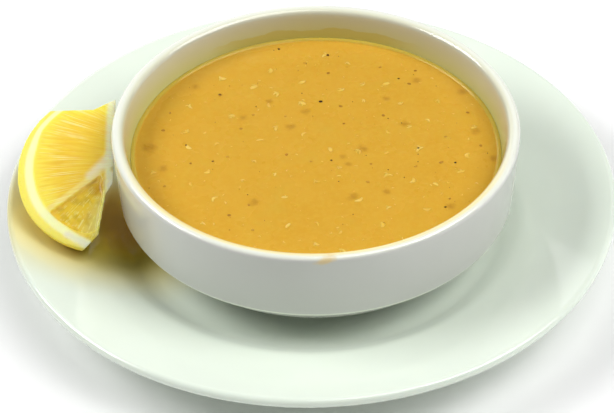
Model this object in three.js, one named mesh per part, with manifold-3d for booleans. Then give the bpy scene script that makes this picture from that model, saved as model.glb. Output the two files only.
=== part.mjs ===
// A bowl of lentil soup on its plate, with a lemon wedge lying on the plate's rim against the bowl.
// Millimetres. +Z is up, Z = 0 is the surface that the plate stands on, and the Z axis is the plate's axis.

import * as THREE from "three";
import { mergeVertices } from "three/addons/utils/BufferGeometryUtils.js";
import Module from "manifold-3d";

const wasm = await Module();
wasm.setup();

// Clearance between two pieces that touch.
const GAP = 0.3;
// Facets round a turned piece, and the largest turn between two points of a rounded corner.
const ROUND_FACETS = 72;
const CORNER_STEP = THREE.MathUtils.degToRad(30);
// How far each side of a foot ring leans out over its height.
const FOOT_LEAN = 1;

const PLATE = {
  radius: 105,
  lipThickness: 3.6,
  lipFillet: 1.65,
  rimSlopeDeg: 17.6,
  shoulderRadius: 72.8,
  shoulderHeight: 11.4,
  shoulderFillet: 20,
  wellRadius: 64.5,
  wellHeight: 6.8,
  wellFillet: 14,
  undersideBend: 77,
  undersideFillet: 4,
  footOuter: 69,
  footInner: 63.4,
  footHeight: 3,
  footFillet: 0.9,
};

const BOWL = {
  offsetX: 1.8,
  rimRadius: 69.3,
  rimHeight: 48.9,
  rimThickness: 4,
  rimOuterFillet: 1.7,
  rimInnerFillet: 2.5,
  wallRadiusLow: 67.8,
  wallHeightLow: 21.6,
  wallFillet: 2.2,
  ledgeRadius: 62.8,
  bellyRadius: 58.5,
  bellyRise: 2.4,
  bellyFillet: 9,
  footOuter: 46,
  footInner: 40.5,
  footHeight: 2.6,
  footFillet: 1,
  innerLipRadius: 64.6,
  innerLipHeight: 45.9,
  innerBendRadius: 62.7,
  innerBendHeight: 35.6,
  innerFloorRadius: 60.4,
  innerFloorFillet: 21,
  floorThickness: 4,
};

const SOUP = {
  level: 37.8,
  meniscusWidth: 2.2,
  meniscusRise: 0.7,
  meniscusBend: { width: 0.4, rise: 0.3 },
};

// Shreds of lentil skin and grains of pepper that stand a little proud of the soup.
const FLAKES = { count: 58, longest: 3.4, shortest: 1.9, slimness: 0.42, proud: 0.34 };
const GRAINS = { count: 30, longest: 1.6, shortest: 1.1, slimness: 0.8, proud: 0.3 };
const BUMP_FACETS = { around: 7, down: 4 };
const BUMP_SPREAD = 57;
const BUMP_SPACING = 7.2;
const BUMP_SEED = 7;

// The wedge is cut from a fruit with three half-axes. Its own frame has its origin at the middle of the
// fruit, in the upper cut face: x runs across that face to the bowl, y runs up its slope and z is its normal.
const LEMON = {
  halfWidth: 29.8,
  halfLength: 30.6,
  depth: 17.2,
  centre: [-70.5, -4.0, 34.0],
  pitchDeg: 23.6,
  rollDeg: -2.3,
  yawDeg: -1.5,
  wedgeDeg: 72,
  undercutY: 0.36,
  ridgeX: 3.3,
  farCutY: 23.1,
  farFlapRise: 3.8,
  farFlapWidth: 7.7,
  nearBend: [3.3, -5.3],
  membraneTop: [0.8, -9.8],
  membraneFoot: [-1.2, -24.8],
  tip: [-5.7, -30],
  pulpShare: 0.8,
  recessDepth: 1.1,
  recessWall: 1,
  recessCorner: [-1, -2],
};
const LEMON_FACETS = { around: 56, down: 36, recess: 8 };
const RECESS_ARC = [220, 258].map(THREE.MathUtils.degToRad);
const FAR_OUTSIDE = 60;

// ---------------------------------------------------------------- geometry helpers

// A profile through corners [radius, height, fillet], each turned by an arc of its fillet radius.
function roundedProfile(corners) {
  const points = [];
  const origin = new THREE.Vector2();
  corners.forEach(([radius, height, fillet = 0], index) => {
    const corner = new THREE.Vector2(radius, height);
    if (fillet === 0) {
      points.push(corner);
      return;
    }
    const back = new THREE.Vector2(...corners[index - 1]).sub(corner).normalize();
    const ahead = new THREE.Vector2(...corners[index + 1]).sub(corner).normalize();
    const half = Math.acos(back.dot(ahead)) / 2;
    const toCentre = back.clone().add(ahead).setLength(fillet / Math.sin(half));
    const centre = corner.clone().add(toCentre);
    const start = corner.clone().addScaledVector(back, fillet / Math.tan(half)).sub(centre);
    const turn = (Math.PI - 2 * half) * Math.sign(ahead.cross(back));
    const steps = Math.max(2, Math.ceil(Math.abs(turn) / CORNER_STEP));
    for (let step = 0; step <= steps; step += 1) {
      points.push(start.clone().rotateAround(origin, (turn * step) / steps).add(centre));
    }
  });
  return points;
}

// A closed profile, from the axis round and back to it, turned about the Z axis.
function turned(profile) {
  return new THREE.LatheGeometry(profile, ROUND_FACETS).rotateX(Math.PI / 2);
}

function solidOf(geometry) {
  const bare = geometry.clone();
  bare.deleteAttribute("normal");
  bare.deleteAttribute("uv");
  const merged = mergeVertices(bare);
  return new wasm.Manifold(
    new wasm.Mesh({
      numProp: 3,
      vertProperties: merged.attributes.position.array,
      triVerts: new Uint32Array(merged.index.array),
    }),
  );
}

function geometryOf(solid) {
  const mesh = solid.getMesh();
  const geometry = new THREE.BufferGeometry();
  geometry.setAttribute("position", new THREE.BufferAttribute(mesh.vertProperties, 3));
  geometry.setIndex(new THREE.BufferAttribute(mesh.triVerts, 1));
  geometry.computeVertexNormals();
  return geometry;
}

// Repeatable random numbers from 0 to 1.
function seededRandom(seed) {
  let state = seed;
  return () => {
    state = (state * 1664525 + 1013904223) % 4294967296;
    return state / 4294967296;
  };
}

function named(name, geometry, color, roughness) {
  const material = new THREE.MeshStandardMaterial({ color, roughness, metalness: 0 });
  const mesh = new THREE.Mesh(geometry, material);
  mesh.name = name;
  return mesh;
}

// ---------------------------------------------------------------- plate

function plateProfile() {
  const p = PLATE;
  const rise = (p.radius - p.shoulderRadius) * Math.tan(THREE.MathUtils.degToRad(p.rimSlopeDeg));
  const lipTop = p.shoulderHeight + rise;
  const lipUnder = lipTop - p.lipThickness;
  const bendDrop = (p.radius - p.undersideBend) * Math.tan(THREE.MathUtils.degToRad(p.rimSlopeDeg));
  return roundedProfile([
    [0, p.footHeight],
    [p.footInner - FOOT_LEAN, p.footHeight],
    [p.footInner, 0, p.footFillet],
    [p.footOuter, 0, p.footFillet],
    [p.footOuter + FOOT_LEAN, p.footHeight],
    [p.undersideBend, lipUnder - bendDrop, p.undersideFillet],
    [p.radius, lipUnder, p.lipFillet],
    [p.radius, lipTop, p.lipFillet],
    [p.shoulderRadius, p.shoulderHeight, p.shoulderFillet],
    [p.wellRadius, p.wellHeight, p.wellFillet],
    [0, p.wellHeight],
  ]);
}

function plate() {
  return named("plate", turned(plateProfile()), 0xeef5ec, 0.14);
}

// ---------------------------------------------------------------- bowl

// The bowl's inside from its floor to just under its rim, moved inwards by an inset.
function innerCorners(inset) {
  const b = BOWL;
  const floor = PLATE.wellHeight + GAP + b.footHeight + b.floorThickness;
  return [
    [0, floor + inset],
    [b.innerFloorRadius - inset, floor + inset, b.innerFloorFillet - inset],
    [b.innerBendRadius - inset, b.innerBendHeight],
    [b.innerLipRadius - inset, b.innerLipHeight],
  ];
}

function bowlProfile() {
  const b = BOWL;
  const base = PLATE.wellHeight + GAP;
  const recess = base + b.footHeight;
  return roundedProfile([
    [0, recess],
    [b.footInner - FOOT_LEAN, recess],
    [b.footInner, base, b.footFillet],
    [b.footOuter, base, b.footFillet],
    [b.footOuter + FOOT_LEAN, recess],
    [b.bellyRadius, recess + b.bellyRise, b.bellyFillet],
    [b.ledgeRadius, b.wallHeightLow],
    [b.wallRadiusLow, b.wallHeightLow, b.wallFillet],
    [b.rimRadius, b.rimHeight, b.rimOuterFillet],
    [b.rimRadius - b.rimThickness, b.rimHeight, b.rimInnerFillet],
    ...innerCorners(0).reverse(),
  ]);
}

function bowl() {
  const mesh = named("bowl", turned(bowlProfile()), 0xf4f3ee, 0.12);
  mesh.position.x = BOWL.offsetX;
  return mesh;
}

// ---------------------------------------------------------------- soup

// The inside profile of the bowl up to the soup's level, with the edge drawn up the wall a little.
function soupProfile() {
  const { level, meniscusWidth, meniscusRise, meniscusBend } = SOUP;
  const edgeHeight = level + meniscusRise;
  const wall = roundedProfile(innerCorners(GAP));
  const above = wall.findIndex((point) => point.y > edgeHeight);
  const high = wall[above];
  const low = wall[above - 1];
  const edge = low.clone().lerp(high, (edgeHeight - low.y) / (high.y - low.y));
  return [
    ...wall.slice(0, above),
    edge,
    new THREE.Vector2(edge.x - meniscusWidth * meniscusBend.width, level + meniscusRise * meniscusBend.rise),
    new THREE.Vector2(edge.x - meniscusWidth, level),
    new THREE.Vector2(0, level),
  ];
}

// Places spread over a disc, each at least a spacing from the others.
function spreadPlaces(count, random) {
  const places = [];
  while (places.length < count) {
    const reach = BUMP_SPREAD * Math.sqrt(random());
    const place = new THREE.Vector2(reach, 0).rotateAround(new THREE.Vector2(), 2 * Math.PI * random());
    if (places.every((other) => other.distanceTo(place) > BUMP_SPACING)) places.push(place);
  }
  return places;
}

// One flake or grain, half sunk in the surface.
function bump(kind, place, random) {
  const length = THREE.MathUtils.lerp(kind.shortest, kind.longest, random());
  const geometry = new THREE.SphereGeometry(1, BUMP_FACETS.around, BUMP_FACETS.down).rotateX(Math.PI / 2);
  geometry.scale(length / 2, (length * kind.slimness) / 2, kind.proud);
  geometry.rotateZ(Math.PI * random());
  geometry.translate(place.x, place.y, SOUP.level);
  return solidOf(geometry);
}

function soup() {
  const random = seededRandom(BUMP_SEED);
  const places = spreadPlaces(FLAKES.count + GRAINS.count, random);
  let solid = solidOf(turned(soupProfile()));
  places.forEach((place, index) => {
    const kind = index < FLAKES.count ? FLAKES : GRAINS;
    solid = solid.add(bump(kind, place, random));
  });
  const mesh = named("soup", geometryOf(solid), 0xe0a93a, 0.25);
  mesh.position.x = BOWL.offsetX;
  return mesh;
}

// ---------------------------------------------------------------- lemon wedge

// A block under the upper cut face, with the face's straight edges as its sides. It leans back under the
// face, so that the side at the ridge is the second cut face, at the wedge's angle to the upper one.
function wedgeBlock() {
  const l = LEMON;
  const foot = new THREE.Vector2(...l.membraneFoot);
  const tip = new THREE.Vector2(...l.tip);
  const beyondTip = tip.clone().add(tip.clone().sub(foot).setLength(FAR_OUTSIDE));
  const outline = new THREE.Shape([
    new THREE.Vector2(l.ridgeX, l.farCutY + l.farFlapRise),
    new THREE.Vector2(l.ridgeX - l.farFlapWidth, l.farCutY),
    new THREE.Vector2(-FAR_OUTSIDE, l.farCutY),
    beyondTip,
    foot,
    new THREE.Vector2(...l.membraneTop),
    new THREE.Vector2(...l.nearBend),
  ]);
  const block = new THREE.ExtrudeGeometry(outline, { depth: FAR_OUTSIDE, bevelEnabled: false });
  const undercutX = 1 / Math.tan(THREE.MathUtils.degToRad(l.wedgeDeg));
  const lean = new THREE.Matrix4().makeShear(0, 0, 0, 0, undercutX, -l.undercutY);
  return block.translate(0, 0, -FAR_OUTSIDE).applyMatrix4(lean);
}

// The near segment's pulp lies a little below the rind and the membranes round it.
function pulpRecess() {
  const l = LEMON;
  const [topX, topY] = l.membraneTop;
  const [footX, footY] = l.membraneFoot;
  const outline = new THREE.Shape();
  outline.moveTo(topX - l.recessWall, topY);
  outline.lineTo(...l.recessCorner);
  outline.absellipse(0, 0, l.halfWidth * l.pulpShare, l.halfLength * l.pulpShare, ...RECESS_ARC, false, 0);
  outline.lineTo(footX - l.recessWall, footY + 2 * l.recessWall);
  const options = { depth: 2 * l.recessDepth, bevelEnabled: false, curveSegments: LEMON_FACETS.recess };
  return new THREE.ExtrudeGeometry(outline, options).translate(0, 0, -l.recessDepth);
}

function lemonWedge() {
  const l = LEMON;
  const fruit = new THREE.SphereGeometry(1, LEMON_FACETS.around, LEMON_FACETS.down);
  fruit.scale(l.halfWidth, l.halfLength, l.depth);
  const wedge = solidOf(fruit)
    .intersect(solidOf(wedgeBlock()))
    .subtract(solidOf(pulpRecess()));
  const mesh = named("lemon_wedge", geometryOf(wedge), 0xf2c93c, 0.4);
  mesh.position.set(...l.centre);
  const turns = [l.pitchDeg, l.rollDeg, l.yawDeg].map(THREE.MathUtils.degToRad);
  mesh.rotation.set(...turns, "ZYX");
  return mesh;
}

// ---------------------------------------------------------------- the whole

const lentilSoupBowl = new THREE.Group();
lentilSoupBowl.add(plate(), bowl(), soup(), lemonWedge());

export default lentilSoupBowl;
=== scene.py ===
"""A bowl of lentil soup on its plate, with a lemon wedge on the plate's rim.

Blender units are metres. Sizes of the object are written in millimetres, named as in the solid model, and
turned into metres where a mesh is made. +Z is up and the Z axis is the plate's axis.
"""

import math

import bmesh
import bpy
import numpy as np
from mathutils import Matrix, Vector, noise


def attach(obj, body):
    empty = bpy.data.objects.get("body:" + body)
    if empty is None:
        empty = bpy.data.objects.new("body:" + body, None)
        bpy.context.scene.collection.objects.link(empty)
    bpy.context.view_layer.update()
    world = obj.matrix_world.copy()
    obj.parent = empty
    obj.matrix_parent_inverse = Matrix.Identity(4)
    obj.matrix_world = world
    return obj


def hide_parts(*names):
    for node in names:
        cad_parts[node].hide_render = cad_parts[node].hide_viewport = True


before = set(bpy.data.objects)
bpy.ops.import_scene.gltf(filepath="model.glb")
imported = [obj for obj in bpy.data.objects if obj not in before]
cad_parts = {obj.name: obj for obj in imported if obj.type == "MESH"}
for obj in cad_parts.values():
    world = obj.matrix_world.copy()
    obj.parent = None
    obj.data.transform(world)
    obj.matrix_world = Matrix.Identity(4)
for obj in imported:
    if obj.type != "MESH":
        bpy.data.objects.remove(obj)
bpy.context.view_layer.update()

MM = 0.001
GAP = 0.3
SEGMENTS = 288
CORNER_STEP = math.radians(7)

# ------------------------------------------------------------------ sizes in millimetres

PLATE = dict(
    radius=105, lip_thickness=3.6, lip_fillet=1.65, rim_slope=math.radians(17.6),
    shoulder_radius=72.8, shoulder_height=11.4, shoulder_fillet=20,
    well_radius=64.5, well_height=6.8, well_fillet=14,
    underside_bend=77, underside_fillet=4,
    foot_outer=69, foot_inner=63.4, foot_height=3, foot_fillet=0.9, foot_lean=1, bare_height=0.5,
)

# The wall's lower edge lies 0.5 mm higher than on the solid model.
BOWL = dict(
    offset_x=1.8, rim_radius=69.3, rim_height=48.9, rim_thickness=4,
    rim_outer_fillet=1.7, rim_inner_fillet=2.5,
    wall_radius_low=67.8, wall_height_low=22.1, wall_fillet=2.2, ledge_radius=62.8,
    belly_radius=58.5, belly_rise=2.4, belly_fillet=9,
    foot_outer=46, foot_inner=40.5, foot_height=2.6, foot_fillet=1, foot_lean=1, bare_height=0.4,
    inner_lip_radius=64.6, inner_lip_height=45.9, inner_lip_fillet=10,
    inner_bend_radius=62.7, inner_bend_height=35.6, inner_bend_fillet=26,
    inner_floor_radius=60.4, inner_floor_fillet=21, floor_thickness=4,
)

# The soup's surface is level up to calm_edge from the film's edge, and it waves fully from calm_end on.
SOUP = dict(
    level=37.8, clearance=0.04, film_rise=0.55, film_width=0.8, lip_width=0.95, lip_steps=10,
    ring_step=0.7, segments=480, calm_edge=1.6, calm_end=7,
    swell=0.10, swell_scale=16, ripple=0.035, ripple_scale=3.2,
)

# The bits in the soup's surface. Lengths run from shortest to longest, proud is half a bit's height and sink
# is how far its middle lies under the soup's level. Flakes and husks lie where the solid model has its
# relief, by the same rule. Crumbs and dust lie all over the surface. A second flake's length and its distance
# are shares of the first one's length.
RELIEF = dict(spread=57, spacing=7.2, seed=7)
FLAKES = dict(
    count=58, longest=3.6, shortest=2.0, slimmest=0.30, widening=0.26, bend=0.7, proud=0.204, sink=0.05,
)
SECOND_FLAKE = dict(
    chance=0.6, length=0.6, slimness=0.36, bend=0.4, proud=0.17, sink=0.04, away=0.28, lean=0.5, twist=0.6,
)
HUSKS = dict(count=30, longest=1.6, shortest=1.1, proud=0.3, sink=0.12)
CRUMBS = dict(
    count=210, longest=1.5, shortest=0.5, slimness=0.45, proud=0.14, sink=0.04,
    spread=60, spacing=2.2, seed=23,
)
DUST = dict(
    count=70, longest=0.55, shortest=0.25, turn_step=0.7, pepper_every=3, spread=60, spacing=4.0, seed=31,
)
NUGGET = dict(width=0.8, unevenness=0.35, uneven_scale=0.6)

# Grains of pepper as (x, y, size) from the bowl's axis. Proud is a share of their size, as for the dust.
GRAIN = dict(proud=0.3, turn_step=1.3, sink=0.05)
PEPPER = (
    (2.0, 26.2, 1.5), (4.9, 53.2, 1.25), (-33.3, 31.3, 1.15), (35.0, -0.6, 1.1), (-12.6, 57.3, 1.1),
    (-35.1, -5.6, 0.95), (47.1, -8.6, 0.95), (29.7, 38.7, 0.85), (-44.5, 3.4, 0.85), (5.2, -6.2, 0.95),
    (42.5, -31.7, 0.95), (29.8, 13.4, 0.6), (8.8, 52.4, 0.5), (44.4, -21.8, 0.5),
)

# Brown husks that lie just under the surface, as (x, y, size) from the bowl's axis. The brown sets in at an
# outer share of the size and is full at an inner one.
SUNKEN = (
    (-56.9, 2.4, 3.4), (15.9, -0.2, 2.6), (60.2, -6.8, 2.2), (36.0, 37.3, 2.4), (51.8, 30.5, 2.8),
    (24.7, 27.3, 2.0), (30.6, 12.6, 2.4), (-15.9, 26.8, 2.0), (-24.9, 18.1, 2.2), (-3.3, 20.8, 2.4),
    (9.2, -4.6, 1.8), (10.9, -8.1, 1.8), (11.9, -25.6, 2.6), (44.0, -31.4, 2.2), (23.3, -23.2, 2.0),
    (-52.0, -9.0, 2.6), (-21.0, -27.5, 2.6), (-8.5, 12.5, 2.4), (55.0, 8.0, 2.4), (-42.0, 36.0, 2.2),
)
SUNKEN_EDGE = dict(outer=1.0, inner=0.1, wobble=0.35, wobble_scale=1.8)

# The wedge in its own frame, with its upper cut face at z = 0 and its peel towards -x. The lower segment of
# that face lies on the near side of a line through the recess's corner.
LEMON = dict(
    half_width=29.8, half_length=30.6, depth=17.2,
    centre=(-70.5, -4, 34), pitch=math.radians(23.6), roll=math.radians(-2.3), yaw=math.radians(-1.5),
    wedge=math.radians(72), undercut_y=0.36, ridge_x=3.3,
    far_cut_y=23.1, far_flap_rise=3.8, far_flap_width=7.7,
    near_bend=(3.3, -5.3), membrane_top=(0.8, -9.8), membrane_foot=(-1.2, -24.8), tip=(-5.7, -30),
    recess_depth=1.1, recess_wall=1, recess_corner=(-1, -2), recess_arc=(220, 258), recess_steps=12,
    pulp_share=0.8, beyond=60, voxel=0.42, face_depth=4, segment_slope=0.81, segment_edge=0.4,
    band_angles=(0, 125, 145, 160, 190, 225, 240, 255, 270, 360),
    pulp_shares=(0.90, 0.90, 0.89, 0.835, 0.80, 0.79, 0.80, 0.86, 0.93, 0.90),
    zest_shares=(0.96, 0.96, 0.955, 0.935, 0.92, 0.915, 0.92, 0.95, 0.97, 0.96),
)

# The lemon's fibres run towards a focus in each segment. Across, along and down scale the noise that draws
# them.
FIBRES = dict(
    upper_focus=(32, 2), lower_focus=(5, 3), across=60, along=9.0, down=0.5, relief=0.16, relief_scale=1.6,
)

# The lights' distance in metres, and the camera's place in millimetres.
LIGHT_DISTANCE = 1.8
CAMERA = dict(
    focal=143.2, sensor=36, position=(0, -647.72, 562.55),
    forward=(-0.00191, 0.76202, -0.64755), up=(0.01798, 0.64747, 0.76188),
)


# ------------------------------------------------------------------ meshes

def mesh_object(name, points, faces, material, smooth=True):
    """A mesh object from points in millimetres."""
    mesh = bpy.data.meshes.new(name)
    mesh.from_pydata((np.asarray(points) * MM).tolist(), [], faces)
    mesh.polygons.foreach_set("use_smooth", [smooth] * len(mesh.polygons))
    mesh.materials.append(material)
    mesh.update()
    made = bpy.data.objects.new(name, mesh)
    bpy.context.scene.collection.objects.link(made)
    return made


def rounded_profile(corners):
    """Points along a profile of corners (radius, height[, fillet]), each turned by an arc."""
    points = []
    for index, corner in enumerate(corners):
        here = Vector(corner[:2])
        fillet = corner[2] if len(corner) > 2 else 0
        if fillet == 0:
            points.append(here)
            continue
        back = (Vector(corners[index - 1][:2]) - here).normalized()
        ahead = (Vector(corners[index + 1][:2]) - here).normalized()
        half = back.angle(ahead) / 2
        centre = here + (back + ahead).normalized() * (fillet / math.sin(half))
        start = here + back * (fillet / math.tan(half)) - centre
        turn = (math.pi - 2 * half) * math.copysign(1, ahead.x * back.y - ahead.y * back.x)
        steps = max(2, math.ceil(abs(turn) / CORNER_STEP))
        for step in range(steps + 1):
            points.append(centre + Matrix.Rotation(turn * step / steps, 2) @ start)
    return points


def lathe(profile, offset_x=0.0, segments=SEGMENTS):
    """Points and faces of a profile turned about the Z axis. The profile starts and ends on the axis."""
    angles = np.linspace(0, 2 * math.pi, segments, endpoint=False)
    inner = np.array([tuple(p) for p in profile[1:-1]])
    rings = np.stack([
        np.outer(inner[:, 0], np.cos(angles)) + offset_x,
        np.outer(inner[:, 0], np.sin(angles)),
        np.repeat(inner[:, 1:2], segments, axis=1),
    ], axis=-1).reshape(-1, 3)
    ends = np.array([[offset_x, 0, profile[0][1]], [offset_x, 0, profile[-1][1]]])
    first, last = len(rings), len(rings) + 1
    faces = []
    for ring in range(len(inner) - 1):
        low, high = ring * segments, (ring + 1) * segments
        for k in range(segments):
            after = (k + 1) % segments
            faces.append((low + k, low + after, high + after, high + k))
    top = (len(inner) - 1) * segments
    for k in range(segments):
        after = (k + 1) % segments
        faces.append((first, after, k))
        faces.append((last, top + k, top + after))
    return np.vstack([rings, ends]), faces


def smooth_step(value, low, high):
    """0 below low, 1 above high and a smooth rise between them."""
    t = np.clip((value - low) / (high - low), 0, 1)
    return t * t * (3 - 2 * t)


def noise_at(points, scale, seed=0.0, detail=1):
    """Smooth noise from -1 to 1 at each point, with features of about scale millimetres."""
    shift = Vector((seed * 17.3, seed * 5.1, seed * 9.7))
    return np.array([noise.fractal(Vector(p) / scale + shift, 0.6, 2.0, detail) for p in points])


def set_attribute(piece, name, values):
    """A number for each vertex, or three numbers for each, that the piece's material reads."""
    values = np.asarray(values, dtype=np.float32)
    kind = "FLOAT" if values.ndim == 1 else "FLOAT_VECTOR"
    field = "value" if values.ndim == 1 else "vector"
    attribute = piece.data.attributes.new(name, kind, "POINT")
    attribute.data.foreach_set(field, values.ravel())


# ------------------------------------------------------------------ material helpers

def new_material(name):
    """A material with its node tree and its Principled shader."""
    material = bpy.data.materials.new(name)
    material.use_nodes = True
    tree = material.node_tree
    return material, tree, tree.nodes["Principled BSDF"]


def feed(tree, socket, value):
    """Links a socket into an input, or sets the input to a value."""
    if isinstance(value, bpy.types.NodeSocket):
        tree.links.new(value, socket)
    elif isinstance(value, tuple) and len(value) == 3 and socket.type == "RGBA":
        socket.default_value = (*value, 1)
    else:
        socket.default_value = value


def node(tree, kind, inputs, output=0, **settings):
    """A new node's output, with its inputs fed by name or number."""
    made = tree.nodes.new("ShaderNode" + kind)
    for key, value in settings.items():
        setattr(made, key, value)
    for key, value in inputs.items():
        feed(tree, made.inputs[key], value)
    return made.outputs[output]


def shade(tree, shader, **inputs):
    """Feeds the Principled shader's inputs, named with _ for a space."""
    for key, value in inputs.items():
        feed(tree, shader.inputs[key.replace("_", " ")], value)


def place(tree):
    """The point's place in metres."""
    return node(tree, "TexCoord", {}, output="Object")


def attribute(tree, name, output="Fac"):
    return node(tree, "Attribute", {}, output=output, attribute_name=name)


def noise_node(tree, vector, scale, detail=2.0, roughness=0.5):
    inputs = {"Vector": vector, "Scale": scale, "Detail": detail, "Roughness": roughness}
    return node(tree, "TexNoise", inputs)


def math_node(tree, operation, a, b=0.0):
    return node(tree, "Math", {0: a, 1: b}, operation=operation)


def times(tree, first, *others):
    """The product of numbers or sockets."""
    product = first
    for other in others:
        product = math_node(tree, "MULTIPLY", product, other)
    return product


def vector_node(tree, operation, a, b):
    return node(tree, "VectorMath", {0: a, 1: b}, operation=operation)


def length_of(tree, vector):
    return node(tree, "VectorMath", {0: vector}, output="Value", operation="LENGTH")


def band(tree, value, low, high, to_low=0.0, to_high=1.0):
    """A smooth change from to_low to to_high while the value goes from low to high."""
    inputs = {"Value": value, "From Min": low, "From Max": high, "To Min": to_low, "To Max": to_high}
    return node(tree, "MapRange", inputs, interpolation_type="SMOOTHSTEP")


def band_mm(tree, value, limits, base=0.0, to_low=0.0, to_high=1.0):
    """A band whose pair of limits is in millimetres from a base."""
    low, high = ((base + limit) * MM for limit in limits)
    return band(tree, value, low, high, to_low, to_high)


def mix(tree, factor, a, b, blend="MIX"):
    """Colour a where the factor is 0 and b where it is 1."""
    return node(tree, "Mix", {0: factor, 6: a, 7: b}, output=2, data_type="RGBA", blend_type=blend)


def bump(tree, height, distance, strength=1.0, normal=None):
    inputs = {"Height": height, "Distance": distance, "Strength": strength}
    if normal is not None:
        inputs["Normal"] = normal
    return node(tree, "Bump", inputs)


# ------------------------------------------------------------------ porcelain

PLATE_GLAZE = (0.82, 0.90, 0.79)
# The bowl's glaze in two copies: a grey one that paints shade over the whole bowl, and a whiter, lit one
# painted on the rim's top and along the wall's lower edge.
SHADED_BOWL_GLAZE = (0.63, 0.632, 0.60)
LIT_BOWL_GLAZE = (0.87, 0.89, 0.79)
BARE_CLAY = (0.62, 0.58, 0.50)
# Painted light from the lemon: yellow light through it on the plate, its paler bounce on the bowl, and amber
# light in the shade between it and the bowl.
PAINTED_LEMON_LIGHT = (0.76, 0.61, 0.07)
PAINTED_LEMON_BOUNCE = (0.80, 0.76, 0.42)
AMBER_LIGHT = (0.94, 0.53, 0.03)

# Ovals of painted light on the glaze near the wedge, in millimetres seen from above: the yellow light that
# comes through the lemon and the amber light in the shade between the lemon and the bowl. A tint fades out
# over a share of its reach, and on faces that look down.
LEMON_LIGHT_SPOT = dict(x=-72, y=-9, reach_x=48, reach_y=36)
AMBER_SPOT = dict(x=-66, y=-2, reach_x=13, reach_y=21)
TINT_FADE = (0.25, 1.15)
TINT_FACING = (-0.35, -0.15)

# How far the glaze differs from its colour, and its waves, pits and worn edge in millimetres.
GLAZE = dict(darker=0.965, paler=1.03, wave=0.25, pit=0.02, wear=0.4, worn_edge=0.35)

# Marks on the bowl's glaze. A pair is where a change starts and ends, in millimetres: a radius or a place
# towards the back from the bowl's axis, a rise from the soup's level, or a drop from the top of the rim.
# Cover is how strongly a mark hides the glaze.
# The rim's top is painted lighter in the lit glaze, as painted light.
LIT_RIM_BAND = dict(drop=(-1.2, -0.2))
# A painted highlight along the wall's lower edge.
EDGE_HIGHLIGHT = dict(above_edge=(1.5, 2.1), radius=(66.2, 66.8))
INSIDE = dict(radius=(66.0, 67.4), rise=(-4.0, -3.0))
FILM = dict(colour=(0.60, 0.595, 0.18), rise=(-3.0, 9.5), cover=(0.88, 0.2), waviness=5.0)
# Painted yellow light from the soup on the rim's inner edge in front.
SOUP_LIGHT_BRIM = dict(colour=(0.94, 0.81, 0.38), radius=(66.7, 68.2), drop=(-2.2, -1.0), back=(-10, -45), cover=0.9)
TIDE = dict(colour=(0.56, 0.47, 0.08), rise=(1.6, 2.2), back=(50, 60), cover=0.6, raggedness=4.0)
SMEAR = dict(
    colour=(0.80, 0.60, 0.24), place=(2.2, -69, 47.8), half_size=(4.2, 10, 1.5), turn=math.radians(12),
    raggedness=0.6, fade=(0.7, 1.35), cover=0.75,
)


def glaze(name, color, foot_top):
    """White glaze that is a little wavy and uneven, and bare clay on the foot ring's lower edge."""
    material, tree, shader = new_material(name)
    here = place(tree)
    height = node(tree, "SeparateXYZ", {0: here}, output="Z")
    uneven = noise_node(tree, here, 38.0, 3.0)
    paler = tuple(min(1.0, GLAZE["paler"] * c) for c in color)
    darker = tuple(GLAZE["darker"] * c for c in color)
    glazed = mix(tree, uneven, darker, paler)
    worn = math_node(tree, "ADD", height, times(tree, noise_node(tree, here, 600.0), GLAZE["wear"] * MM))
    foot = band_mm(tree, worn, (0, GLAZE["worn_edge"]), foot_top, 1.0, 0.0)
    waves = bump(tree, noise_node(tree, here, 55.0, 1.0), GLAZE["wave"] * MM, 0.6)
    pits = bump(tree, noise_node(tree, here, 900.0, 2.0), GLAZE["pit"] * MM, 0.4, waves)
    shade(
        tree, shader,
        Base_Color=mix(tree, foot, glazed, BARE_CLAY),
        Roughness=band(tree, foot, 0.0, 1.0, 0.09, 0.75),
        Normal=pits,
        IOR=1.52,
        Coat_Weight=0.25,
        Coat_Roughness=0.04,
        Subsurface_Weight=0.12,
        Subsurface_Radius=(1.0, 0.9, 0.75),
        Subsurface_Scale=1.5 * MM,
    )
    return material, tree, shader


def base_colour(shader):
    """What feeds the shader's base colour so far."""
    return shader.inputs["Base Color"].links[0].from_socket


def paint_lemon_light(tree, shader, colour, spot, strength):
    """Paints the lemon's light onto the glaze near the wedge: a tint that stands in for light coming through
    the lemon.
    """
    away = vector_node(tree, "SUBTRACT", place(tree), (spot["x"] * MM, spot["y"] * MM, 0))
    scaled = vector_node(tree, "MULTIPLY", away, (1 / (spot["reach_x"] * MM), 1 / (spot["reach_y"] * MM), 0))
    facing = node(tree, "SeparateXYZ", {0: node(tree, "NewGeometry", {}, output="Normal")}, output="Z")
    cover = band(tree, length_of(tree, scaled), *TINT_FADE, strength, 0.0)
    cover = times(tree, cover, band(tree, facing, *TINT_FACING))
    shade(tree, shader, Base_Color=mix(tree, cover, base_colour(shader), colour))


def plate_glaze():
    material, tree, shader = glaze("plate_glaze", PLATE_GLAZE, PLATE["bare_height"])
    paint_lemon_light(tree, shader, PAINTED_LEMON_LIGHT, LEMON_LIGHT_SPOT, strength=1.0)
    paint_lemon_light(tree, shader, AMBER_LIGHT, AMBER_SPOT, strength=1.0)
    return material


def bowl_places(tree):
    """A point of the bowl as seen from the bowl's axis, in metres."""
    point = vector_node(tree, "SUBTRACT", place(tree), (BOWL["offset_x"] * MM, 0, 0))
    split = tree.nodes.new("ShaderNodeSeparateXYZ")
    feed(tree, split.inputs[0], point)
    back = split.outputs["Y"]
    flat = node(tree, "CombineXYZ", {0: split.outputs["X"], 1: back})
    return dict(point=point, flat=flat, radius=length_of(tree, flat), back=back, height=split.outputs["Z"])


# Painted light on the rim's top: the whiter, lit glaze.
def paint_lit_rim(tree, at):
    return band_mm(tree, at["height"], LIT_RIM_BAND["drop"], BOWL["rim_height"])


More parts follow.
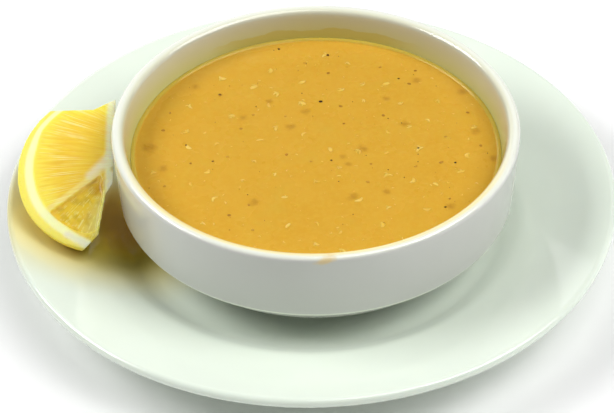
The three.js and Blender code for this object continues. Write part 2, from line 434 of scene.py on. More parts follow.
def painted_edge_highlight(tree, at):
    """A painted highlight along the lower edge of the wall, in the whiter, lit glaze."""
    low = band_mm(tree, at["height"], EDGE_HIGHLIGHT["above_edge"], BOWL["wall_height_low"], 1.0, 0.0)
    return times(tree, low, band_mm(tree, at["radius"], EDGE_HIGHLIGHT["radius"]))


def bowl_inside(tree, at):
    """1 on the bowl's inside from just under the soup's level upwards."""
    within = band_mm(tree, at["radius"], INSIDE["radius"], 0.0, 1.0, 0.0)
    return times(tree, within, band_mm(tree, at["height"], INSIDE["rise"], SOUP["level"]))


def soup_film(tree, at):
    """A wavy film of soup on the inside, which thins out upwards."""
    waves = times(tree, noise_node(tree, at["flat"], 26.0, 3.0), FILM["waviness"] * MM)
    height = math_node(tree, "SUBTRACT", at["height"], waves)
    cover = band_mm(tree, height, FILM["rise"], SOUP["level"], *FILM["cover"])
    return times(tree, bowl_inside(tree, at), cover)


def painted_soup_light(tree, at):
    """Painted yellow light from the soup on the rim's inner edge in front."""
    inner = band_mm(tree, at["radius"], SOUP_LIGHT_BRIM["radius"], 0.0, SOUP_LIGHT_BRIM["cover"], 0.0)
    front = band_mm(tree, at["back"], SOUP_LIGHT_BRIM["back"])
    return times(tree, inner, front, band_mm(tree, at["height"], SOUP_LIGHT_BRIM["drop"], BOWL["rim_height"]))


def tide_mark(tree, at):
    """A ragged mark of dried soup on the inside at the back."""
    ragged = times(tree, noise_node(tree, at["flat"], 90.0, 4.0), TIDE["raggedness"] * MM)
    height = math_node(tree, "SUBTRACT", at["height"], ragged)
    low = band_mm(tree, height, TIDE["rise"], SOUP["level"], TIDE["cover"], 0.0)
    return times(tree, low, bowl_inside(tree, at), band_mm(tree, at["back"], TIDE["back"]))


def soup_smear(tree, at):
    """A slanting smear of soup on the rim in front."""
    away = vector_node(tree, "SUBTRACT", at["point"], tuple(value * MM for value in SMEAR["place"]))
    turned = node(tree, "VectorRotate", {"Vector": away, "Angle": SMEAR["turn"]}, rotation_type="Y_AXIS")
    scaled = vector_node(tree, "MULTIPLY", turned, tuple(1 / (half * MM) for half in SMEAR["half_size"]))
    ragged = times(tree, noise_node(tree, place(tree), 500.0, 2.0), SMEAR["raggedness"])
    reach = math_node(tree, "ADD", length_of(tree, scaled), ragged)
    return band(tree, reach, *SMEAR["fade"], SMEAR["cover"], 0.0)


def bowl_glaze():
    """The bowl's glaze with all that is on it, each mark over the one before, painted light and shade among
    them.
    """
    foot_top = PLATE["well_height"] + GAP + BOWL["bare_height"]
    material, tree, shader = glaze("bowl_glaze", SHADED_BOWL_GLAZE, foot_top)
    # Painted yellow light that the lemon throws on the bowl's wall.
    paint_lemon_light(tree, shader, PAINTED_LEMON_BOUNCE, LEMON_LIGHT_SPOT, strength=0.4)
    at = bowl_places(tree)
    marks = (
        (paint_lit_rim, LIT_BOWL_GLAZE), (painted_edge_highlight, LIT_BOWL_GLAZE), (soup_film, FILM["colour"]),
        (painted_soup_light, SOUP_LIGHT_BRIM["colour"]), (tide_mark, TIDE["colour"]), (soup_smear, SMEAR["colour"]),
    )
    for cover, colour in marks:
        shade(tree, shader, Base_Color=mix(tree, cover(tree, at), base_colour(shader), colour))
    return material


# ------------------------------------------------------------------ plate and bowl

def plate_profile():
    p = PLATE
    slope = math.tan(p["rim_slope"])
    lip_top = p["shoulder_height"] + (p["radius"] - p["shoulder_radius"]) * slope
    lip_under = lip_top - p["lip_thickness"]
    return rounded_profile([
        (0, p["foot_height"]),
        (p["foot_inner"] - p["foot_lean"], p["foot_height"]),
        (p["foot_inner"], 0, p["foot_fillet"]),
        (p["foot_outer"], 0, p["foot_fillet"]),
        (p["foot_outer"] + p["foot_lean"], p["foot_height"]),
        (p["underside_bend"], lip_under - (p["radius"] - p["underside_bend"]) * slope, p["underside_fillet"]),
        (p["radius"], lip_under, p["lip_fillet"]),
        (p["radius"], lip_top, p["lip_fillet"]),
        (p["shoulder_radius"], p["shoulder_height"], p["shoulder_fillet"]),
        (p["well_radius"], p["well_height"], p["well_fillet"]),
        (0, p["well_height"]),
    ])


def inner_corners(inset):
    """The bowl's inside from its floor to its rim, moved inwards by an inset."""
    b = BOWL
    floor = PLATE["well_height"] + GAP + b["foot_height"] + b["floor_thickness"]
    return [
        (0, floor + inset),
        (b["inner_floor_radius"] - inset, floor + inset, b["inner_floor_fillet"] - inset),
        (b["inner_bend_radius"] - inset, b["inner_bend_height"], b["inner_bend_fillet"]),
        (b["inner_lip_radius"] - inset, b["inner_lip_height"], b["inner_lip_fillet"]),
        (b["rim_radius"] - b["rim_thickness"] - inset, b["rim_height"], b["rim_inner_fillet"]),
    ]


def bowl_profile():
    b = BOWL
    base = PLATE["well_height"] + GAP
    recess = base + b["foot_height"]
    return rounded_profile([
        (0, recess),
        (b["foot_inner"] - b["foot_lean"], recess),
        (b["foot_inner"], base, b["foot_fillet"]),
        (b["foot_outer"], base, b["foot_fillet"]),
        (b["foot_outer"] + b["foot_lean"], recess),
        (b["belly_radius"], recess + b["belly_rise"], b["belly_fillet"]),
        (b["ledge_radius"], b["wall_height_low"]),
        (b["wall_radius_low"], b["wall_height_low"], b["wall_fillet"]),
        (b["rim_radius"], b["rim_height"], b["rim_outer_fillet"]),
        *reversed(inner_corners(0)),
    ])


def porcelain_piece(name, node_name, profile, offset_x, material):
    piece = mesh_object(name, *lathe(profile, offset_x), material)
    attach(piece, "root")
    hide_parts(node_name)
    return piece


# ------------------------------------------------------------------ soup

SOUP_DARK = (0.64, 0.350, 0.032)
SOUP_LIGHT = (0.66, 0.370, 0.038)
SOUP_GRAIN = (0.67, 0.390, 0.046)
SUNKEN_BROWN = (0.36, 0.15, 0.014)
THIN_SOUP = (0.56, 0.44, 0.075)
GRAIN_RELIEF = 0.12

# A bit's darkest and lightest colour.
SHRED_COLOURS = ((0.82, 0.465, 0.07), (0.92, 0.58, 0.13))
HUSK_COLOURS = ((0.36, 0.15, 0.012), (0.56, 0.28, 0.03))
PEPPER_COLOURS = ((0.045, 0.016, 0.003), (0.16, 0.065, 0.008))
BIT_RELIEF = 0.08


def soup_material():
    """Golden soup with fine grain, soft brown spots under the surface and a thinner edge along the bowl."""
    material, tree, shader = new_material("lentil_soup")
    here = place(tree)
    clouds = noise_node(tree, here, 60.0, 4.0, 0.6)
    grain = noise_node(tree, here, 700.0, 3.0, 0.6)
    base = mix(tree, band(tree, clouds, 0.3, 0.7), SOUP_DARK, SOUP_LIGHT)
    speckled = mix(tree, band(tree, grain, 0.35, 0.75), base, SOUP_GRAIN)
    blotch = times(tree, attribute(tree, "sunken"), band(tree, grain, 0.2, 0.6, 0.2, 0.55))
    spotted = mix(tree, blotch, speckled, SUNKEN_BROWN)
    edge = attribute(tree, "edge")
    thin = mix(tree, band(tree, edge, 0.0, 0.6, 0.0, 0.7), spotted, THIN_SOUP)
    relief = bump(tree, grain, GRAIN_RELIEF * MM, band(tree, edge, 0.05, 0.3, 0.35, 0.06))
    shade(
        tree, shader,
        Base_Color=thin,
        Roughness=band(tree, edge, 0.0, 0.2, 0.28, 0.13),
        Normal=relief,
        IOR=1.36,
        Specular_Tint=(1.0, 0.80, 0.42),
        Specular_IOR_Level=0.5,
        Subsurface_Weight=0.35,
        Subsurface_Radius=(1.0, 0.5, 0.1),
        Subsurface_Scale=3.0 * MM,
    )
    return material


def soup_profile():
    """Up the bowl's inside, over the film that clings to it, down its lip and across the surface.

    A narrow ring at the edge keeps the smooth shading of the film level.
    """
    edge_height = SOUP["level"] + SOUP["film_rise"]
    wall = rounded_profile([*inner_corners(SOUP["clearance"]), (0, BOWL["rim_height"])])
    above = next(k for k, point in enumerate(wall) if point.y > edge_height)
    low, high = wall[above - 1], wall[above]
    edge = low.lerp(high, (edge_height - low.y) / (high.y - low.y))
    points = wall[:above] + [edge, edge - Vector((SOUP["clearance"], 0))]
    lip = edge.x - SOUP["film_width"]
    for step in range(SOUP["lip_steps"] + 1):
        share = step / SOUP["lip_steps"]
        drop = smooth_step(share, 0, 1)
        points.append(Vector((lip - SOUP["lip_width"] * share, edge_height - SOUP["film_rise"] * drop)))
    inner = lip - SOUP["lip_width"]
    rings = round(inner / SOUP["ring_step"])
    for ring in range(1, rings + 1):
        points.append(Vector((inner * (1 - ring / rings), SOUP["level"])))
    return points, edge.x


def sunken_husks(points):
    """How brown each vertex is: 1 over the middle of a sunken husk and 0 away from them."""
    wobble = SUNKEN_EDGE["wobble"] * noise_at(points, SUNKEN_EDGE["wobble_scale"], seed=4, detail=2)
    brown = np.zeros(len(points))
    for x, y, size in SUNKEN:
        away = np.hypot(points[:, 0] - BOWL["offset_x"] - x, points[:, 1] - y) / size
        brown = np.maximum(brown, smooth_step(away + wobble, SUNKEN_EDGE["outer"], SUNKEN_EDGE["inner"]))
    return brown


def soup_swell(points, edge_radius):
    """How far the surface rises at each vertex: faint waves that calm down towards the edge."""
    radius = np.hypot(points[:, 0] - BOWL["offset_x"], points[:, 1])
    calm = smooth_step(radius, edge_radius - SOUP["calm_edge"], edge_radius - SOUP["calm_end"])
    on_top = points[:, 2] >= SOUP["level"] - 1e-6
    swell = SOUP["swell"] * noise_at(points, SOUP["swell_scale"], seed=1, detail=2)
    ripple = SOUP["ripple"] * noise_at(points, SOUP["ripple_scale"], seed=2, detail=2)
    return on_top * calm * (swell + ripple)


def make_soup():
    profile, edge_radius = soup_profile()
    points, faces = lathe(profile, BOWL["offset_x"], SOUP["segments"])
    points[:, 2] += soup_swell(points, edge_radius)
    piece = mesh_object("soup_surface", points, faces, soup_material())
    set_attribute(piece, "edge", np.clip((points[:, 2] - SOUP["level"]) / SOUP["film_rise"], 0, 1))
    set_attribute(piece, "sunken", sunken_husks(points))
    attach(piece, "root")
    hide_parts("soup")
    return piece


def seeded_random(seed):
    """Repeatable random numbers from 0 to 1, by the solid model's rule."""
    state = seed
    while True:
        state = (state * 1664525 + 1013904223) % 4294967296
        yield state / 4294967296


def spread_places(count, spread, spacing, random):
    """Places over a disc, each at least a spacing from the others."""
    places = []
    while len(places) < count:
        reach = spread * math.sqrt(next(random))
        turn = 2 * math.pi * next(random)
        here = Vector((reach * math.cos(turn), reach * math.sin(turn)))
        if all((other - here).length > spacing for other in places):
            places.append(here)
    return places


def shred(length, slimness, proud, bend):
    """A thin sliver with rounded ends, bent along its length: points and faces round the origin."""
    stations, around, blunt_end = 9, 8, 0.02
    points, faces = [], []
    for k in range(stations):
        along = -1 + 2 * k / (stations - 1)
        swell = math.sqrt(max(blunt_end, 1 - along * along))
        middle = (along * length / 2, bend * length * along * along)
        for j in range(around):
            turn = 2 * math.pi * j / around
            across = math.cos(turn) * swell * length * slimness / 2
            points.append((middle[0], middle[1] + across, math.sin(turn) * swell * proud))
    for k in range(stations - 1):
        for j in range(around):
            a, b = k * around + j, k * around + (j + 1) % around
            faces.append((a, b, b + around, a + around))
    faces.append(tuple(reversed(range(around))))
    faces.append(tuple(range((stations - 1) * around, stations * around)))
    return np.array(points), faces


def nugget(size, proud, seed):
    """An uneven grain: points and faces round the origin."""
    made = bmesh.new()
    bmesh.ops.create_icosphere(made, subdivisions=2, radius=0.5)
    points = np.array([v.co[:] for v in made.verts])
    faces = [tuple(v.index for v in f.verts) for f in made.faces]
    made.free()
    points *= (1 + NUGGET["unevenness"] * noise_at(points, NUGGET["uneven_scale"], seed))[:, None]
    return points * np.array([size, size * NUGGET["width"], 2 * proud]), faces


def joined(name, parts, material):
    """One piece of many small parts on the soup's surface, each ((points, faces), place, turn, sink)."""
    points, faces, count = [], [], 0
    for (own_points, own_faces), here, turn, sink in parts:
        c, s = math.cos(turn), math.sin(turn)
        spun = own_points @ np.array([[c, s, 0], [-s, c, 0], [0, 0, 1]])
        points.append(spun + np.array([here.x + BOWL["offset_x"], here.y, SOUP["level"] - sink]))
        faces.extend(tuple(index + count for index in face) for face in own_faces)
        count += len(own_points)
    piece = mesh_object(name, np.vstack(points), faces, material)
    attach(piece, "root")
    return piece


def bit_material(name, colours, roughness, translucency):
    """A small bit in the soup: uneven in colour, wet and a little translucent."""
    material, tree, shader = new_material(name)
    here = place(tree)
    shade(
        tree, shader,
        Base_Color=mix(tree, band(tree, noise_node(tree, here, 260.0, 3.0), 0.35, 0.65), *colours),
        Roughness=roughness,
        Normal=bump(tree, noise_node(tree, here, 1500.0, 2.0), BIT_RELIEF * MM, 0.5),
        IOR=1.4,
        Specular_IOR_Level=0.25,
        Subsurface_Weight=translucency,
        Subsurface_Radius=(1.0, 0.5, 0.1),
        Subsurface_Scale=1.5 * MM,
    )
    return material


def bit_length(kind, share):
    return kind["shortest"] + (kind["longest"] - kind["shortest"]) * share


def second_flake(length, here, turn, random):
    """A smaller shred that lies across the side of a first one."""
    s = SECOND_FLAKE
    lean = turn + s["lean"] + next(random)
    beside = here + s["away"] * length * Vector((math.cos(lean), math.sin(lean)))
    shape = shred(s["length"] * length, s["slimness"], s["proud"], s["bend"])
    return shape, beside, lean + s["twist"], s["sink"]


def flakes(length, here, turn, random):
    """A shred of lentil and, with some of them, a second one."""
    slimness = FLAKES["slimmest"] + FLAKES["widening"] * next(random)
    bend = FLAKES["bend"] * (next(random) - 0.5)
    parts = [(shred(length, slimness, FLAKES["proud"], bend), here, turn, FLAKES["sink"])]
    if next(random) < SECOND_FLAKE["chance"]:
        parts.append(second_flake(length, here, turn, random))
    return parts


def flakes_and_husks():
    """The bits that the solid model has too, at the same places."""
    random = seeded_random(RELIEF["seed"])
    places = spread_places(FLAKES["count"] + HUSKS["count"], RELIEF["spread"], RELIEF["spacing"], random)
    bends = seeded_random(RELIEF["seed"] + 1)
    shreds, husks = [], []
    for index, here in enumerate(places):
        kind = FLAKES if index < FLAKES["count"] else HUSKS
        length = bit_length(kind, next(random))
        turn = math.pi * next(random)
        if kind is FLAKES:
            shreds.extend(flakes(length, here, turn, bends))
        else:
            husks.append((nugget(length, HUSKS["proud"], index), here, turn, HUSKS["sink"]))
    return shreds, husks


def crumbs():
    """Short shreds, most of them near the shortest."""
    random = seeded_random(CRUMBS["seed"])
    parts = []
    for here in spread_places(CRUMBS["count"], CRUMBS["spread"], CRUMBS["spacing"], random):
        length = bit_length(CRUMBS, next(random) ** 2)
        bend = next(random) - 0.5
        turn = math.pi * next(random)
        parts.append((shred(length, CRUMBS["slimness"], CRUMBS["proud"], bend), here, turn, CRUMBS["sink"]))
    return parts


def pepper_grains():
    parts = []
    for k, (x, y, size) in enumerate(PEPPER):
        shape = nugget(size, GRAIN["proud"] * size, k)
        parts.append((shape, Vector((x, y)), k * GRAIN["turn_step"], GRAIN["sink"]))
    return parts


def add_dust(pepper, husks):
    """The finest bits, some of pepper and the others of husk."""
    random = seeded_random(DUST["seed"])
    for k, here in enumerate(spread_places(DUST["count"], DUST["spread"], DUST["spacing"], random)):
        size = bit_length(DUST, next(random))
        target = pepper if k % DUST["pepper_every"] == 0 else husks
        target.append((nugget(size, GRAIN["proud"] * size, k), here, k * DUST["turn_step"], 0))


def make_bits():
    """Shreds of lentil, brown husks and pepper, all half sunk in the surface."""
    shreds, husks = flakes_and_husks()
    shreds.extend(crumbs())
    pepper = pepper_grains()
    add_dust(pepper, husks)
    shred_material = bit_material("lentil_shreds", SHRED_COLOURS, roughness=0.3, translucency=0.4)
    husk_material = bit_material("lentil_husks", HUSK_COLOURS, roughness=0.5, translucency=0.3)
    pepper_material = bit_material("pepper_grains", PEPPER_COLOURS, roughness=0.6, translucency=0.0)
    joined("lentil_shreds", shreds, shred_material)
    joined("lentil_husks", husks, husk_material)
    joined("pepper_grains", pepper, pepper_material)


# ------------------------------------------------------------------ lemon

FIBRE_SHADE = (0.96, 0.89, 0.80)
GLINT = dict(colour=(0.98, 0.88, 0.40), cover=0.6)
DEEP_SAC = (0.60, 0.40, 0.02)
# Pale seams between the juice sacs, which also carry painted glints.
PALE_SEAM_GLINT = (0.96, 0.84, 0.28)
PORE_RELIEF, FIBRE_RELIEF, SAC_RELIEF = 0.25, 0.35, 0.4

# The lemon's tones. A zone is 0 to 1 through the pulp, 1 to 2 through the pith and from 2 on in the rind, and
# a pair of zones is where a tone sets in and where it covers all.
PULP = (0.89, 0.645, 0.075)
PULP_EDGE = dict(zones=(0.62, 0.97), colour=(0.95, 0.80, 0.12))
LOWER_PULP = (0.85, 0.61, 0.045)
OUTER_TONES = (
    dict(zones=(0.96, 1.10), colour=(0.96, 0.90, 0.28)),
    dict(zones=(1.02, 1.3), colour=(0.97, 0.96, 0.52)),
    dict(zones=(1.7, 2.1), colour=(0.92, 0.77, 0.15)),
    dict(zones=(2.4, 3.4), colour=(0.88, 0.62, 0.07)),
)

# Soft strokes on the cut face, in millimetres in the wedge's own frame, with the half width at either end.
LOWER_SHADOW = dict(start=(2, -5), end=(-3, -8), widths=(2.5, 1.5), softness=2.0, colour=(0.60, 0.34, 0.02))
LOWER_GLOW = dict(start=(0, -14), end=(-3, -22), widths=(2.5, 3.5), softness=3.0, colour=(0.80, 0.66, 0.17))
MEMBRANE = dict(
    start=(-2.5, -2.2), end=(-18.2, -14.2), widths=(1.5, 0.8), softness=0.6, colour=(0.94, 0.77, 0.25),
)
CORE = dict(start=(2.7, 4.7), end=(-5, -2.4), widths=(2.2, 1.2), softness=1.4, colour=(0.98, 0.86, 0.58))
RIDGE = dict(reach=(3.9, 2.0), cover=0.9, colour=(1.0, 0.95, 0.64))
NEAR_TIP = dict(
    start=(-11.5, -24.3), end=(-5.5, -28), widths=(1.2, 1.5), softness=1.2, colour=(0.84, 0.82, 0.60),
)


def upper_colour(tree, tone, fibres, threads, upper):
    """The upper segment: darker between its fibres, with painted glints on bright threads in patches."""
    darker = mix(tree, 1.0, tone, FIBRE_SHADE, "MULTIPLY")
    colour = mix(tree, times(tree, band(tree, fibres, 0.6, 0.35), upper), tone, darker)
    patches = band(tree, noise_node(tree, place(tree), 110.0, 2.0), 0.40, 0.56, 0.25, 1.0)
    off_centre = band(tree, attribute(tree, "zone"), 0.25, 0.6, 0.35, 1.0)
    glints = times(tree, band(tree, threads, 0.55, 0.66), patches, off_centre, upper, GLINT["cover"])
    return mix(tree, glints, colour, GLINT["colour"])


def lower_colour(tree, colour, threads, lower):
    """The lower segment: deep juice sacs, with pale seam lines between them that also carry painted glints.
    """
    deep = band(tree, noise_node(tree, place(tree), 260.0, 1.0), 0.5, 0.3, 0.0, 0.6)
    colour = mix(tree, times(tree, deep, lower), colour, DEEP_SAC)
    broken = band(tree, noise_node(tree, place(tree), 650.0, 1.0), 0.46, 0.60, 0.1, 0.9)
    seam_glints = times(tree, band(tree, threads, 0.52, 0.62), lower, broken)
    return mix(tree, seam_glints, colour, PALE_SEAM_GLINT)


def lemon_material():
    """Each vertex's tone with fibres on the upper segment, juice sacs on the lower and pores on the skin."""
    material, tree, shader = new_material("lemon")
    zone = attribute(tree, "zone")
    streak = attribute(tree, "streak", "Vector")
    lower = attribute(tree, "lower")
    here = place(tree)
    pulp = band(tree, zone, 0.93, 1.0, 1.0, 0.0)
    skin = band(tree, zone, 1.9, 2.2)
    upper = times(tree, pulp, math_node(tree, "SUBTRACT", 1.0, lower))
    fibres = noise_node(tree, streak, 1.0, 3.0, 0.6)
    threads = noise_node(tree, vector_node(tree, "MULTIPLY", streak, (2.2, 0.5, 1)), 1.0, 0.0, 0.5)
    colour = upper_colour(tree, attribute(tree, "tone", "Color"), fibres, threads, upper)
    colour = lower_colour(tree, colour, threads, times(tree, lower, pulp))
    pores = noise_node(tree, here, 1100.0, 2.0)
    sac_inputs = {"Vector": here, "Scale": 800.0}
    sacs = node(tree, "TexVoronoi", sac_inputs, output="Distance", feature="DISTANCE_TO_EDGE")
    relief = bump(tree, times(tree, pores, skin), PORE_RELIEF * MM, 0.6)
    relief = bump(tree, times(tree, fibres, upper), FIBRE_RELIEF * MM, 0.5, relief)
    relief = bump(tree, times(tree, sacs, lower), SAC_RELIEF * MM, 0.4, relief)
    shade(
        tree, shader,
        Base_Color=colour,
        Roughness=band(tree, zone, 0.9, 1.2, 0.2, 0.5),
        Normal=relief,
        IOR=1.38,
        Subsurface_Weight=0.9,
        Subsurface_Radius=(1.0, 0.8, 0.16),
        Subsurface_Scale=8.0 * MM,
    )
    return material


def lemon_outline():
    """The upper cut face's straight edges, wider than the fruit on the peel's side."""
    l = LEMON
    foot, tip = Vector(l["membrane_foot"]), Vector(l["tip"])
    beyond = tip + (tip - foot).normalized() * l["beyond"]
    return [
        Vector((l["ridge_x"], l["far_cut_y"] + l["far_flap_rise"])),
        Vector((l["ridge_x"] - l["far_flap_width"], l["far_cut_y"])),
        Vector((-l["beyond"], l["far_cut_y"])), beyond, foot,
        Vector(l["membrane_top"]), Vector(l["near_bend"]),
    ]


def recess_outline():
    """The sunken part of the lower segment, inside its membrane and its pulp's outer edge."""
    l = LEMON
    wall = l["recess_wall"]
    width, length = l["half_width"] * l["pulp_share"], l["half_length"] * l["pulp_share"]
    start, end = (math.radians(a) for a in l["recess_arc"])
    angles = np.linspace(start, end, l["recess_steps"])
    arc = [Vector((width * math.cos(a), length * math.sin(a))) for a in angles]
    top, foot = Vector(l["membrane_top"]), Vector(l["membrane_foot"])
    return [top - Vector((wall, 0)), Vector(l["recess_corner"]), *arc, foot + Vector((-wall, 2 * wall))]


def prism(name, outline, low, high, lean=(0.0, 0.0)):
    """A block over an outline, whose sides lean with their depth below the plane z = 0."""
    made = bmesh.new()
    rings = []
    for z in (low, high):
        rings.append([made.verts.new((p.x + lean[0] * z, p.y + lean[1] * z, z)) for p in outline])
    made.faces.new(rings[1])
    made.faces.new(list(reversed(rings[0])))
    for k in range(len(outline)):
        after = (k + 1) % len(outline)
        made.faces.new((rings[0][k], rings[0][after], rings[1][after], rings[1][k]))
    bmesh.ops.recalc_face_normals(made, faces=made.faces)
    return link_bmesh(name, made)


def link_bmesh(name, made):
    mesh = bpy.data.meshes.new(name)
    made.to_mesh(mesh)
    made.free()
    piece = bpy.data.objects.new(name, mesh)
    bpy.context.scene.collection.objects.link(piece)
    return piece


def fruit():
    made = bmesh.new()
    bmesh.ops.create_uvsphere(made, u_segments=160, v_segments=120, radius=1)
    bmesh.ops.scale(made, vec=(LEMON["half_width"], LEMON["half_length"], LEMON["depth"]), verts=made.verts)
    return link_bmesh("fruit", made)


def wedge_mesh():
    """The wedge in its own frame in millimetres, as an even fine mesh: points, normals and faces."""
    l = LEMON
    body = fruit()
    lean = (1 / math.tan(l["wedge"]), -l["undercut_y"])
    block = prism("block", lemon_outline(), -l["beyond"], 0, lean)
    recess = prism("recess", recess_outline(), -l["recess_depth"], l["recess_depth"])
    for tool, operation in ((block, "INTERSECT"), (recess, "DIFFERENCE")):
        cut = body.modifiers.new(operation, "BOOLEAN")
        cut.object = tool
        cut.operation = operation
        cut.solver = "EXACT"
    remesh = body.modifiers.new("even", "REMESH")
    remesh.mode = "VOXEL"
    remesh.voxel_size = l["voxel"]
    shown = body.evaluated_get(bpy.context.evaluated_depsgraph_get())
    mesh = shown.to_mesh()
    points = np.array([v.co[:] for v in mesh.vertices])
    normals = np.array([v.normal[:] for v in mesh.vertices])
    faces = [tuple(p.vertices) for p in mesh.polygons]
    shown.to_mesh_clear()
    for piece in (body, block, recess):
        bpy.data.objects.remove(piece)
    return points, normals, faces


def along_line(points, start, end):
    """How far along a line on the cut face each point lies, from 0 to 1, and its distance from the line."""
    a, b = np.array(start), np.array(end)
    share = np.clip(((points[:, :2] - a) @ (b - a)) / ((b - a) @ (b - a)), 0, 1)
    return share, np.linalg.norm(points[:, :2] - (a + share[:, None] * (b - a)), axis=1)


def covered(tone, mask, colour):
    """The tone of each vertex, covered with a colour where the mask is 1."""
    return tone + mask[:, None] * (np.array(colour) - tone)


def stroked(tone, mask, points, mark):
    """The tone of each vertex with a soft stroke over it, where the mask is 1."""
    share, distance = along_line(points, mark["start"], mark["end"])
    start_width, end_width = mark["widths"]
    half = start_width + (end_width - start_width) * share
    cover = smooth_step(distance, half + mark["softness"], half - mark["softness"])
    return covered(tone, mask * cover, mark["colour"])


def lemon_zone(points):
    """0 to 1 through the pulp, 1 to 2 through the pith and from 2 on through the rind."""
    l = LEMON
    half = np.array([l["half_width"], l["half_length"], l["depth"]])
    rho = np.linalg.norm(points / half, axis=1)
    angle = np.degrees(np.arctan2(points[:, 1] / half[1], points[:, 0] / half[0])) % 360
    pulp_end = np.interp(angle, l["band_angles"], l["pulp_shares"])
    pith_end = np.interp(angle, l["band_angles"], l["zest_shares"])
    pith = 1 + (rho - pulp_end) / (pith_end - pulp_end)
    rind = 2 + (rho - pith_end) / (1 - pith_end)
    return np.where(rho < pulp_end, rho / pulp_end, np.where(rho < pith_end, pith, rind))


def on_cut_face(points):
    return points[:, 2] > -LEMON["face_depth"]


def lower_segment(points):
    """1 on the cut face's lower segment, 0 on the upper one and a soft change between them."""
    l = LEMON
    corner_x, corner_y = l["recess_corner"]
    side = (points[:, 0] - corner_x) * l["segment_slope"] - (points[:, 1] - corner_y)
    return smooth_step(side, -l["segment_edge"], l["segment_edge"]) * on_cut_face(points)


def fibre_streaks(points, lower):
    """Where each vertex lies along and across the fibres that run to its segment's focus."""
    f = FIBRES
    focus = np.where(lower[:, None] > 0.5, np.array(f["lower_focus"]), np.array(f["upper_focus"]))
    from_focus = points[:, :2] - focus
    reach = np.linalg.norm(from_focus, axis=1)
    bearing = np.arctan2(from_focus[:, 1], from_focus[:, 0]) % (2 * math.pi)
    return np.stack([bearing * f["across"], reach / f["along"], points[:, 2] * f["down"]], axis=1)


def fibre_relief(streak, zone, normals):
    """How far each vertex of the pulp on the cut face is raised or sunk."""
    in_pulp = zone < 0.98
    facing_up = smooth_step(normals[:, 2], 0.5, 0.9)
    rise = FIBRES["relief"] * noise_at(streak, FIBRES["relief_scale"], seed=3, detail=2)
    return rise * in_pulp * facing_up


def lemon_tone(points, zone, lower):
    """The broad colour of each vertex: pulp, pith and rind first, then the parts of the cut face."""
    top = on_cut_face(points)
    tone = np.tile(np.array(PULP), (len(points), 1))
    tone = covered(tone, smooth_step(zone, *PULP_EDGE["zones"]), PULP_EDGE["colour"])
    tone = covered(tone, lower, LOWER_PULP)
    tone = stroked(tone, lower, points, LOWER_SHADOW)
    tone = stroked(tone, lower, points, LOWER_GLOW)
    for outer in OUTER_TONES:
        tone = covered(tone, smooth_step(zone, *outer["zones"]), outer["colour"])
    tone = stroked(tone, top, points, MEMBRANE)
    tone = stroked(tone, top, points, CORE)
    from_ridge = np.abs(points[:, 0] - (LEMON["ridge_x"] + points[:, 2] / math.tan(LEMON["wedge"])))
    tone = covered(tone, RIDGE["cover"] * smooth_step(from_ridge, *RIDGE["reach"]), RIDGE["colour"])
    return stroked(tone, top, points, NEAR_TIP)


def make_lemon():
    l = LEMON
    points, normals, faces = wedge_mesh()
    zone = lemon_zone(points)
    lower = lower_segment(points)
    streak = fibre_streaks(points, lower)
    tone = lemon_tone(points, zone, lower)
    points = points + normals * fibre_relief(streak, zone, normals)[:, None]
    piece = mesh_object("lemon", points, faces, lemon_material())
    set_attribute(piece, "zone", zone)
    set_attribute(piece, "streak", streak)
    set_attribute(piece, "lower", lower)
    set_attribute(piece, "tone", tone)
    pitched = Matrix.Rotation(l["pitch"], 4, "X")
    turned = Matrix.Rotation(l["yaw"], 4, "Z") @ Matrix.Rotation(l["roll"], 4, "Y") @ pitched
    piece.data.transform(Matrix.Translation(Vector(l["centre"]) * MM) @ turned)
    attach(piece, "root")
    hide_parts("lemon_wedge")
    return piece


# ------------------------------------------------------------------ camera, floor and light

def make_camera():
    data = bpy.data.cameras.new("camera")
    data.lens = CAMERA["focal"]
    data.sensor_width = CAMERA["sensor"]
    camera = bpy.data.objects.new("camera", data)
    forward, up = Vector(CAMERA["forward"]), Vector(CAMERA["up"])
    turn = Matrix((forward.cross(up), up, -forward)).transposed().to_4x4()
    camera.matrix_world = Matrix.Translation(Vector(CAMERA["position"]) * MM) @ turn
    bpy.context.scene.collection.objects.link(camera)
    bpy.context.scene.camera = camera


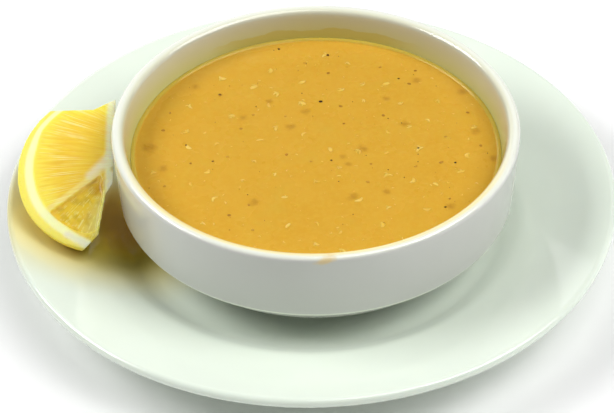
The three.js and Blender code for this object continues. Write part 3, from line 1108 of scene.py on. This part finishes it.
def make_floor():
    material, tree, shader = new_material("floor")
    tone = mix(tree, noise_node(tree, place(tree), 3.0), (0.93, 0.93, 0.93), (0.95, 0.95, 0.95))
    shade(tree, shader, Base_Color=tone, Roughness=0.6)
    size = 3000
    corners = [(-size, -size, 0), (size, -size, 0), (size, size, 0), (-size, size, 0)]
    mesh_object("floor", corners, [(0, 1, 2, 3)], material, smooth=False)


def softbox(name, azimuth, elevation, half_width, half_height, radiance):
    """A soft light. Angles are in degrees seen from the plate: azimuth 0 is the viewer's side, 90 is +X."""
    turn, rise = math.radians(azimuth), math.radians(elevation)
    toward = Vector((math.sin(turn) * math.cos(rise), -math.cos(turn) * math.cos(rise), math.sin(rise)))
    data = bpy.data.lights.new(name, "AREA")
    data.shape = "RECTANGLE"
    data.size = 2 * LIGHT_DISTANCE * math.tan(math.radians(half_width))
    data.size_y = 2 * LIGHT_DISTANCE * math.tan(math.radians(half_height))
    data.energy = radiance * math.pi * data.size * data.size_y
    light = bpy.data.objects.new(name, data)
    light.location = toward * LIGHT_DISTANCE
    light.rotation_mode = "QUATERNION"
    light.rotation_quaternion = (-toward).to_track_quat("-Z", "Y")
    bpy.context.scene.collection.objects.link(light)


def make_light():
    world = bpy.data.worlds.new("studio")
    world.use_nodes = True
    world.node_tree.nodes["Background"].inputs["Color"].default_value = (1, 1, 1, 1)
    world.node_tree.nodes["Background"].inputs["Strength"].default_value = 0.03
    bpy.context.scene.world = world
    softbox("right_softbox", azimuth=79, elevation=50, half_width=17, half_height=14, radiance=5.5)
    softbox("left_softbox", azimuth=263, elevation=43, half_width=18, half_height=11, radiance=8.5)
    softbox("overhead", azimuth=60, elevation=73, half_width=15, half_height=15, radiance=3.4)
    softbox("right_fill", azimuth=105, elevation=17, half_width=18, half_height=12, radiance=1.6)
    softbox("back_fill", azimuth=200, elevation=17, half_width=20, half_height=12, radiance=1.2)
    bpy.context.scene.view_settings.view_transform = "Standard"


# ------------------------------------------------------------------ the whole

make_camera()
make_floor()
make_light()
porcelain_piece("plate_body", "plate", plate_profile(), 0, plate_glaze())
porcelain_piece("bowl_body", "bowl", bowl_profile(), BOWL["offset_x"], bowl_glaze())
make_soup()
make_bits()
make_lemon()
